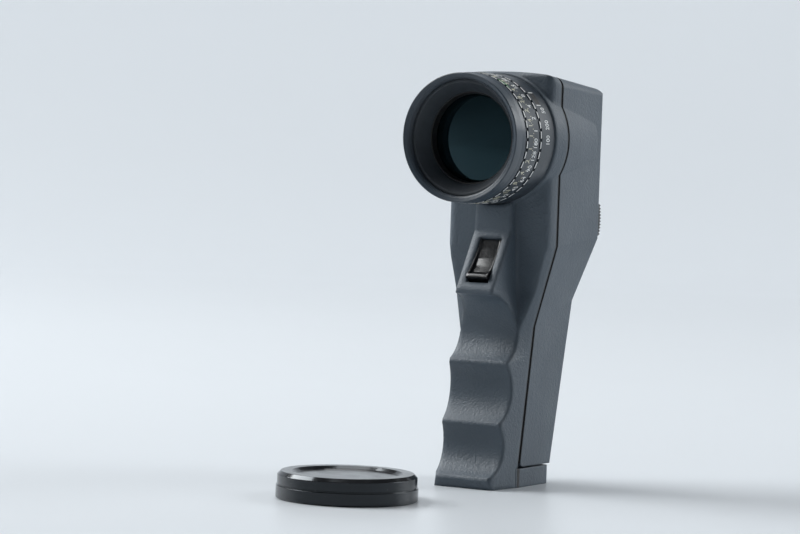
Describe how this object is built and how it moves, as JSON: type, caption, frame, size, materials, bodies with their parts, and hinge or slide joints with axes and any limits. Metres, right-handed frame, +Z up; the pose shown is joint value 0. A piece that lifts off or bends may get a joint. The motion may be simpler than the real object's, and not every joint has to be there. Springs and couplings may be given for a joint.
{
  "type": "spot light meter",
  "caption": "Hand-held spot light meter with a lens barrel, two turning dials, a trigger, an eyepiece and a finger-grooved grip; its slip-on lens cap lies beside it.",
  "frame": {"origin": "middle of the grip's flat base, under the meter", "axes": "-Y is the way the lens looks, +Z is up through the grip, +X is to the right seen from the front"},
  "size_m": [0.0592, 0.1504, 0.1438],
  "materials": {
    "housing_plastic": "fine textured, satin",
    "black_plastic": "matte",
    "black_rubber": "matte",
    "trigger_gloss": "gloss",
    "barrel_enamel": "satin enamel",
    "dial_enamel": "satin enamel with light marks",
    "barrel_inner": "flat anti-reflection black",
    "coated_glass": "polished, green coating",
    "clear_glass": "polished",
    "inner_plastic": "moulded black",
    "contact_metal": "plated",
    "steel": "plain",
    "screw_black": "blackened",
    "sensor_can": "plain",
    "battery_wrap": "printed sleeve",
    "display_red": "gloss",
    "board_green": "solder mask",
    "cap_gloss": "gloss"
  },
  "bodies": {
    "meter": {"front_housing": "housing_plastic", "rear_housing": "housing_plastic", "seam_gasket": "black_rubber", "thumb_rest": "black_plastic", "battery": "battery_wrap", "battery_tube": "inner_plastic", "battery_spring": "contact_metal", "trigger_pin": "steel", "trigger_spring": "steel", "trigger_switch": "inner_plastic", "front_bezel": "barrel_enamel", "front_sleeve": "barrel_inner", "lens_barrel": "barrel_inner", "barrel_nut": "steel", "ring_washer": "black_plastic", "front_lens": "coated_glass", "rear_lens": "coated_glass", "lens_retaining_ring": "barrel_inner", "lens_spacer": "barrel_inner", "optics_block": "inner_plastic", "beam_splitter": "clear_glass", "light_sensor": "sensor_can", "focusing_screen": "clear_glass", "number_display": "display_red", "eyepiece_tube": "barrel_enamel", "eyecup": "black_rubber", "circuit_board": "board_green", "housing_screws": "screw_black", "strap_lug": "steel"},
    "trigger": {"trigger": "trigger_gloss"},
    "scale_ring": {"scale_ring": "dial_enamel"},
    "film_speed_ring": {"film_speed_ring": "dial_enamel"},
    "battery_cover": {"battery_cover": "housing_plastic", "battery_contact": "contact_metal"},
    "diopter_ring": {"diopter_ring": "barrel_enamel"},
    "eyepiece_cell": {"eyepiece_cell": "barrel_inner", "eyepiece_lens": "clear_glass"},
    "lens_cap": {"lens_cap": "cap_gloss"}
  },
  "joints": [
    {"name": "trigger_pull", "type": "hinge", "parent": "meter", "child": "trigger", "pos_m": [0, -0.00327, 0.08189], "axis": [1, 0, 0], "range_deg": [0, 6], "stiffness_Nm_per_rad": 0.2, "springref_deg": -2.86},
    {"name": "scale_ring_turn", "type": "hinge", "parent": "meter", "child": "scale_ring", "pos_m": [0, -0.0184, 0.1203], "axis": [0, 1, 0], "continuous": true},
    {"name": "film_speed_turn", "type": "hinge", "parent": "meter", "child": "film_speed_ring", "pos_m": [0, -0.0079, 0.1203], "axis": [0, 1, 0], "range_deg": [-108, 162]},
    {"name": "battery_cover_slide", "type": "slide", "parent": "meter", "child": "battery_cover", "axis": [0, 1, 0], "range_m": [0, 0.0245]},
    {"name": "diopter_turn", "type": "hinge", "parent": "meter", "child": "diopter_ring", "pos_m": [0, 0.0431, 0.1203], "axis": [0, 1, 0], "range_deg": [-60, 60]},
    {"name": "eyepiece_focus", "type": "slide", "parent": "meter", "child": "eyepiece_cell", "axis": [0, 1, 0], "range_m": [-0.0006, 0.0006]},
    {"name": "cap_lift", "type": "slide", "parent": "meter", "child": "lens_cap", "axis": [0, 0, 1], "range_m": [0, 0.05]}
  ],
  "couplings": [
    {"joint": "eyepiece_focus", "follows": "diopter_turn", "m_per_rad": 0.00057}
  ]
}
